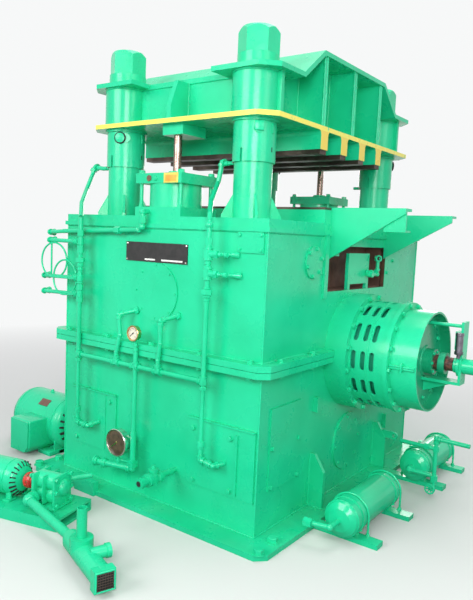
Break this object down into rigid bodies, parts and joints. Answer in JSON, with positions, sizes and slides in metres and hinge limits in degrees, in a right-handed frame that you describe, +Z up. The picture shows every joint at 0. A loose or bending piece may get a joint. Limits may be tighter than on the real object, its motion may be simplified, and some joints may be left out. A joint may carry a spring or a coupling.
{
  "type": "cutoff press",
  "caption": "Underdriven cutoff press: a welded bed with a drive drum, and a crown on columns that slides down over the table; with air tanks, pipes and a pump set.",
  "frame": {"origin": "centre of the base plate's underside, on the floor", "axes": "+X to the right along the front, +Y to the back, +Z up; the front with the name plate faces -Y"},
  "size_m": [2.997, 2.9385, 2.596],
  "materials": {
    "green_paint": "gloss",
    "dark_steel": "matt",
    "chromed_rod": "polished",
    "bright_steel": "satin",
    "gauge_case": "satin",
    "plate_black": "satin",
    "red_paint": "gloss"
  },
  "bodies": {
    "bed": {"air_tanks": "green_paint", "base_plate": "green_paint", "bolster": "green_paint", "cantilever_arms": "green_paint", "chute_plate": "green_paint", "counterbalance_cylinders": "green_paint", "deck_plate": "green_paint", "drum_guard": "green_paint", "drum_housing": "green_paint", "foot_brackets": "green_paint", "front_covers": "green_paint", "front_doors": "green_paint", "front_pipes": "green_paint", "gauges": "gauge_case", "gear_pump": "green_paint", "lower_housing": "green_paint", "main_motor": "green_paint", "name_plate": "plate_black", "post_guides": "green_paint", "pump_base": "green_paint", "pump_motor": "green_paint", "rotary_device": "green_paint", "seam_flange": "green_paint", "side_covers": "green_paint", "slotted_drum": "green_paint", "suction_strainer": "green_paint", "table_strips": "dark_steel", "tank_pipes": "green_paint", "upper_housing": "green_paint"},
    "crown": {"crown_bottom_plate": "green_paint", "crown_top_plate": "green_paint", "crown_tubes": "green_paint", "crown_cross_webs": "green_paint", "crown_long_webs": "green_paint", "crown_ribs": "green_paint", "collars": "green_paint", "post_nuts": "green_paint", "posts": "bright_steel", "sleeves": "green_paint", "crown_rails": "green_paint", "rail_shoes": "dark_steel", "rod_blocks": "green_paint", "piston_rods": "chromed_rod"},
    "drive_shaft": {"drive_shaft": "bright_steel"},
    "pump_coupling": {"jaw_coupling": "red_paint"}
  },
  "joints": [
    {"name": "crown_slide", "type": "slide", "parent": "bed", "child": "crown", "axis": [0, 0, 1], "range_m": [-0.045, 0]},
    {"name": "drive_shaft_spin", "type": "hinge", "parent": "bed", "child": "drive_shaft", "pos_m": [1.3, 0, 0.877], "axis": [1, 0, 0], "continuous": true},
    {"name": "pump_coupling_spin", "type": "hinge", "parent": "bed", "child": "pump_coupling", "pos_m": [-0.39022, -1.47728, 0.168], "axis": [0.9659, 0.2588, 0], "continuous": true}
  ]
}
